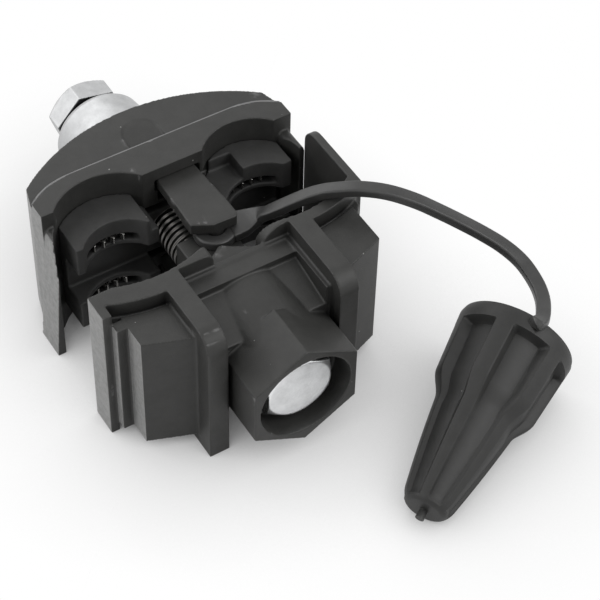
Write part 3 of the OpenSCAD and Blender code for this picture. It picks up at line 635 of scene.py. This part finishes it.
class CONNECTOR_OT_end_cap(bpy.types.Operator):
    """End cap: a tapered boot with rails between sunk panels, a plain rim and a moulding nub"""
    bl_idname = "connector.end_cap"
    bl_label = "End cap"

    def outer_radius(self, sizes, s):
        """Radius over the rails at that distance from the tip: a slim nose, a shoulder and a wide body."""
        nose = sizes.tip_radius + 0.205 * s - 1.8 * s * s
        flare = (sizes.mouth_radius - sizes.shoulder_radius) / (sizes.cap_length - BODY_START)
        body = sizes.shoulder_radius + flare * (s - BODY_START)
        return nose + (body - nose) * ease((s - SHOULDER_START) / SHOULDER_RUN)

    def panel_depth(self, sizes, s):
        """Depth of the panels between the rails: shallow along the nose, deep above the shoulder."""
        deepened = ease((s - PANEL_DEEPENS) / PANEL_RUN)
        return sizes.rail_height * (NOSE_PANEL + (1 - NOSE_PANEL) * deepened)

    def bore(self, sizes):
        """Distance from the tip and radius of each ring of the bore, from the mouth inwards."""
        rings = [(sizes.cap_length, sizes.mouth_radius - BORE_LEAD - sizes.wall)]
        for s in BORE_RINGS:
            rings.append((s, self.outer_radius(sizes, s) - self.panel_depth(sizes, s) - sizes.wall))
        return rings + [(BORE_END, sizes.tip_radius * 0.6)]

    def stations(self, sizes):
        """Distance from the tip of each ring of the outside, closer where the form turns."""
        mouth = sizes.cap_length
        panels_end = mouth - RIM_HEIGHT
        tip = [0.00008, 0.0003, 0.0006, 0.0009, 0.0013, 0.0018, TIP_ROUND]
        steps = [TIP_ROUND + RING_STEP * k for k in range(1, 80)]
        panels = [s for s in steps if s < panels_end - 0.0009]
        ends = [panels_end + lift for lift in (-0.0007, -0.0005, -0.0003, -0.0001, 0, 0.0004)]
        return tip + panels + ends + [mouth - drop for drop in (0.0016, MOUTH_ROUND, 0.0002, 0)]

    def next_ring(self, bm, edges):
        """Extrudes an open ring of edges: the vertices and the edges of the new one."""
        made = bmesh.ops.extrude_edge_only(bm, edges=edges)["geom"]
        return ([g for g in made if isinstance(g, bmesh.types.BMVert)],
                [g for g in made if isinstance(g, bmesh.types.BMEdge)])

    def place_vert(self, vert, radius, s):
        """Puts a ring's vertex at that radius and that distance from the tip."""
        vert.co = Vector((vert.co.x, vert.co.y, 0)).normalized() * radius
        vert.co.z = s

    def boot(self, bm, sizes):
        """Outside up to the mouth, bore back to the tip, and the nub; the underside lies on the floor."""
        tilt = math.radians(CAP_TILT)
        panels_end = sizes.cap_length - RIM_HEIGHT
        bmesh.ops.create_circle(bm, segments=300, radius=sizes.tip_radius * 0.7)
        edges = bm.edges[:]
        for s in self.stations(sizes):
            ring, edges = self.next_ring(bm, edges)
            nose = math.sqrt(max(0.0, 1 - (1 - min(1.0, s / TIP_ROUND)) ** 2))
            over = self.outer_radius(sizes, s) * (TIP_FLAT + (1 - TIP_FLAT) * nose)
            over -= MOUTH_INSET * ease((s - sizes.cap_length + MOUTH_ROUND) / MOUTH_ROUND)
            depth = self.panel_depth(sizes, s) * ease((s - PANEL_START) / PANEL_FADE)
            depth *= min(1.0, max(0.0, (panels_end - s) / PANEL_STOP))
            resting = (CAP_TIP[2] * MM + s * math.sin(tilt)) / math.cos(tilt)
            for vert in ring:
                turn = math.degrees(math.atan2(vert.co.y, vert.co.x))
                share = ((turn + RAIL_TURN) % RAIL_PITCH) / RAIL_PITCH
                flanks = [ramp((edge - FLANK_START) / FLANK_RUN) for edge in (share, 1 - share)]
                level = over - depth * min(flanks)
                level -= (1 - ease(abs(turn) / UNDERSIDE)) * max(0.0, level - resting)
                self.place_vert(vert, level, s)
        for s, radius in self.bore(sizes):
            ring, edges = self.next_ring(bm, edges)
            for vert in ring:
                self.place_vert(vert, radius, s)
        bmesh.ops.contextual_create(bm, geom=edges)
        bmesh.ops.contextual_create(bm, geom=[e for e in bm.edges if e.is_boundary])
        bmesh.ops.create_cone(bm, cap_ends=True, segments=24, radius1=NUB_RADII[0], radius2=NUB_RADII[1],
                              depth=NUB_LENGTH, matrix=Matrix.Translation((0, 0, NUB_MIDDLE)))
        bmesh.ops.transform(bm, matrix=cap_place(), verts=bm.verts)

    def execute(self, context):
        sizes = context.scene.connector_tether
        cap = add_piece("end_cap_boot", lambda bm: self.boot(bm, sizes))
        cap.data.set_sharp_from_angle(angle=math.radians(24))
        dress(cap, bpy.data.materials["Cap rubber"])
        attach(cap, "base")
        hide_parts("end_cap")
        return {"FINISHED"}


class CONNECTOR_OT_tether(bpy.types.Operator):
    """Strap that ties the end cap to the jaw, and its eye on the peg"""
    bl_idname = "connector.tether"
    bl_label = "Tether"

    def ring(self, bm, sizes):
        """Washer of the strap's thickness, with its bore on the peg."""
        bmesh.ops.create_circle(bm, segments=64, radius=EYE_BORE)
        flat = bmesh.ops.extrude_edge_only(bm, edges=bm.edges[:])["geom"]
        rim = [g for g in flat if isinstance(g, bmesh.types.BMVert)]
        bmesh.ops.scale(bm, verts=rim, vec=Vector((EYE_RIM / EYE_BORE, EYE_RIM / EYE_BORE, 1)))
        raised = bmesh.ops.extrude_face_region(bm, geom=bm.faces[:])["geom"]
        bmesh.ops.translate(bm, verts=[g for g in raised if isinstance(g, bmesh.types.BMVert)],
                            vec=(0, 0, sizes.thickness))
        bmesh.ops.bevel(bm, geom=[e for e in bm.edges if e.calc_face_angle(0) > 1], offset=EYE_ROUND,
                        offset_type="OFFSET", affect="EDGES", segments=4, profile=0.5, material=-1)
        bmesh.ops.translate(bm, verts=bm.verts, vec=(PEG[0] * MM, PEG[1] * MM, EYE_BOTTOM))

    def execute(self, context):
        sizes = context.scene.connector_tether
        path = smooth_path([Vector(p) * MM for p in STRAP_ROUTE], 5)
        run = [0.0]
        for a, b in zip(path, path[1:]):
            run.append(run[-1] + (b - a).length)
        widths = [sizes.width + (sizes.fan - sizes.width) * (1 - ease(s / FAN_RUN)) for s in run]
        strap = add_piece(
            "strap", lambda bm: sweep(bm, path_frames(path), widths, sizes.thickness, STRAP_CORNER))
        dress(strap, bpy.data.materials["Strap rubber"])
        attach(strap, "base")
        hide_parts("cap_strap")
        eye = add_piece("strap_ring", lambda bm: self.ring(bm, sizes))
        dress(eye, bpy.data.materials["Strap rubber"])
        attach(eye, "base")
        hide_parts("strap_eye")
        return {"FINISHED"}


class CONNECTOR_OT_jaws(bpy.types.Operator):
    """Two moulded jaws with rounded edges, and the mould lines along the upper jaw's lip, coloured pale as
    painted highlight
    """
    bl_idname = "connector.jaws"
    bl_label = "Jaws"

    def execute(self, context):
        finish = context.scene.connector_jaws
        for name in ("lower_jaw", "upper_jaw"):
            soften(NODES[name], finish.rounding, passes=3, share=0.19)
            dress(NODES[name], bpy.data.materials["Jaw plastic"])
        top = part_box("upper_jaw")[1].z
        inset = FLASH_WIDTH / 2
        for name, height in (("lip_flash_upper", top - inset), ("lip_flash_lower", inset)):
            line = smooth_path([Vector((x * MM, y * MM, height)) for x, y in LIP_RIDGE], 6)
            widths = [FLASH_WIDTH] * len(line)
            flash_highlight = add_piece(
                name, lambda bm: sweep(bm, path_frames(line), widths, FLASH_WIDTH, FLASH_CORNER))
            dress(flash_highlight, bpy.data.materials["Jaw flash"])
            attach(flash_highlight, "jaw")
        return {"FINISHED"}


class CONNECTOR_OT_seals(bpy.types.Operator):
    """Rubber seals around the contact plates"""
    bl_idname = "connector.seals"
    bl_label = "Seals"

    def execute(self, context):
        cell = context.scene.connector_rubber.rounding
        for name in ("upper_main_seal", "upper_tap_seal", "lower_main_seal", "lower_tap_seal"):
            soften(NODES[name], cell, passes=3, share=0.5)
            dress(NODES[name], bpy.data.materials["Seal rubber"])
        return {"FINISHED"}


class CONNECTOR_OT_plates(bpy.types.Operator):
    """Toothed contact plates"""
    bl_idname = "connector.plates"
    bl_label = "Contact plates"

    def execute(self, context):
        cell = context.scene.connector_metal.rounding
        for name in ("upper_front_plate", "upper_rear_plate", "lower_front_plate", "lower_rear_plate"):
            soften(NODES[name], cell, passes=2, share=0.5)
            dress(NODES[name], bpy.data.materials["Tinned contact"])
        return {"FINISHED"}


class CONNECTOR_OT_bolt_and_nut(bpy.types.Operator):
    """Bolt and shear-head nut"""
    bl_idname = "connector.bolt_and_nut"
    bl_label = "Bolt and nut"

    def execute(self, context):
        cell = context.scene.connector_metal.rounding
        for name, finish in (("bolt", "Zinc head"), ("shear_nut", "Zinc plating")):
            soften(NODES[name], cell, passes=2, share=0.5)
            dress(NODES[name], bpy.data.materials[finish])
        return {"FINISHED"}


class CONNECTOR_OT_stage(bpy.types.Operator):
    """Pale floor, pale surround and three soft lamps"""
    bl_idname = "connector.stage"
    bl_label = "Stage"

    def seen_white(self, tree):
        """Mask of the rays that see the background itself or mirrored."""
        path = tree.nodes.new("ShaderNodeLightPath")
        both = maths(tree, "ADD", path.outputs["Is Camera Ray"], path.outputs["Is Glossy Ray"])
        return add_node(tree, "ShaderNodeMath", [(0, both), (1, path.outputs["Is Transmission Ray"])],
                        operation="ADD", use_clamp=True).outputs[0]

    def floor(self, context, colour):
        """Matt floor that looks white, with soft shade close to what stands on it."""
        bm = bmesh.new()
        bmesh.ops.create_grid(bm, x_segments=1, y_segments=1, size=4)
        mesh = bpy.data.meshes.new("floor")
        bm.to_mesh(mesh)
        bm.free()
        floor = bpy.data.objects.new("floor", mesh)
        context.scene.collection.objects.link(floor)
        material = bpy.data.materials.new("Pale floor")
        material.use_nodes = True
        tree = material.node_tree
        tree.nodes.clear()
        matt = add_node(tree, "ShaderNodeBsdfDiffuse", [("Color", (*colour, 1))])
        glow = add_node(tree, "ShaderNodeEmission", [("Color", (1, 1, 1, 1)), ("Strength", 1.0)])
        path = tree.nodes.new("ShaderNodeLightPath")
        mirrored = maths(tree, "MULTIPLY", path.outputs["Is Glossy Ray"], 0.9)
        seen = maths(tree, "ADD", path.outputs["Is Camera Ray"], mirrored)
        shelter = add_node(tree, "ShaderNodeAmbientOcclusion", [("Distance", 0.03)], samples=8)
        share = maths(tree, "MULTIPLY", seen, shelter.outputs["AO"])
        mixed = add_node(tree, "ShaderNodeMixShader",
                         [(0, share), (1, matt.outputs[0]), (2, glow.outputs[0])])
        out = tree.nodes.new("ShaderNodeOutputMaterial")
        tree.links.new(mixed.outputs[0], out.inputs["Surface"])
        mesh.materials.append(material)

    def lamp(self, context, name, power, size, place, aim):
        data = bpy.data.lights.new(name, "AREA")
        data.shape = "RECTANGLE"
        data.size, data.size_y = size
        data.energy = power
        lamp = bpy.data.objects.new(name, data)
        lamp.location = place
        lamp.rotation_euler = (Vector(place) - Vector(aim)).to_track_quat("Z", "Y").to_euler()
        context.scene.collection.objects.link(lamp)

    def execute(self, context):
        light = context.scene.connector_light
        self.floor(context, light.floor)
        self.lamp(context, "left lamp", light.left, size=(0.7, 0.45),
                  place=(-0.5, 0.14, 0.26), aim=(-0.03, 0.02, 0))
        self.lamp(context, "back lamp", light.back, size=(0.7, 0.5),
                  place=(-0.1, 0.55, 0.5), aim=(0, 0, 0.02))
        self.lamp(context, "front lamp", light.front, size=(0.5, 0.5),
                  place=(0.3, -0.4, 0.45), aim=(0, -0.02, 0.02))
        world = bpy.data.worlds.new("surround")
        context.scene.world = world
        world.use_nodes = True
        tree = world.node_tree
        tree.nodes.clear()
        dim = add_node(tree, "ShaderNodeBackground", [("Color", (1, 1, 1, 1)), ("Strength", light.sky)])
        white = add_node(tree, "ShaderNodeBackground", [("Color", (1, 1, 1, 1)), ("Strength", 1.0)])
        mixed = add_node(tree, "ShaderNodeMixShader",
                         [(0, self.seen_white(tree)), (1, dim.outputs[0]), (2, white.outputs[0])])
        out = tree.nodes.new("ShaderNodeOutputWorld")
        tree.links.new(mixed.outputs[0], out.inputs["Surface"])
        context.scene.view_settings.view_transform = "Standard"
        return {"FINISHED"}


class CONNECTOR_PT_panel(bpy.types.Panel):
    """Sizes, finishes and steps of the connector"""
    bl_idname = "CONNECTOR_PT_panel"
    bl_label = "Piercing connector"
    bl_space_type = "VIEW_3D"
    bl_region_type = "UI"
    bl_category = "Connector"

    def draw(self, context):
        for step in STEPS:
            self.layout.operator(step.bl_idname)
        for slot, kind in SETTINGS.items():
            box = self.layout.box()
            box.label(text=kind.__doc__)
            for name in kind.__annotations__:
                box.prop(getattr(context.scene, slot), name)


SETTINGS = {
    "connector_jaws": JawFinish,
    "connector_rubber": RubberFinish,
    "connector_metal": MetalFinish,
    "connector_tether": TetherSizes,
    "connector_light": StudioLight,
}
STEPS = (CONNECTOR_OT_camera, CONNECTOR_OT_finishes, CONNECTOR_OT_end_cap, CONNECTOR_OT_tether,
         CONNECTOR_OT_jaws, CONNECTOR_OT_seals, CONNECTOR_OT_plates, CONNECTOR_OT_bolt_and_nut,
         CONNECTOR_OT_stage)


def register():
    for slot, kind in SETTINGS.items():
        bpy.utils.register_class(kind)
        setattr(bpy.types.Scene, slot, bpy.props.PointerProperty(type=kind))
    for kind in (*STEPS, CONNECTOR_PT_panel):
        bpy.utils.register_class(kind)


def unregister():
    for kind in reversed((*STEPS, CONNECTOR_PT_panel)):
        bpy.utils.unregister_class(kind)
    for slot, kind in reversed(SETTINGS.items()):
        delattr(bpy.types.Scene, slot)
        bpy.utils.unregister_class(kind)


def main():
    register()
    for step in STEPS:
        area, action = step.bl_idname.split(".")
        getattr(getattr(bpy.ops, area), action)()


if __name__ == "__main__":
    main()
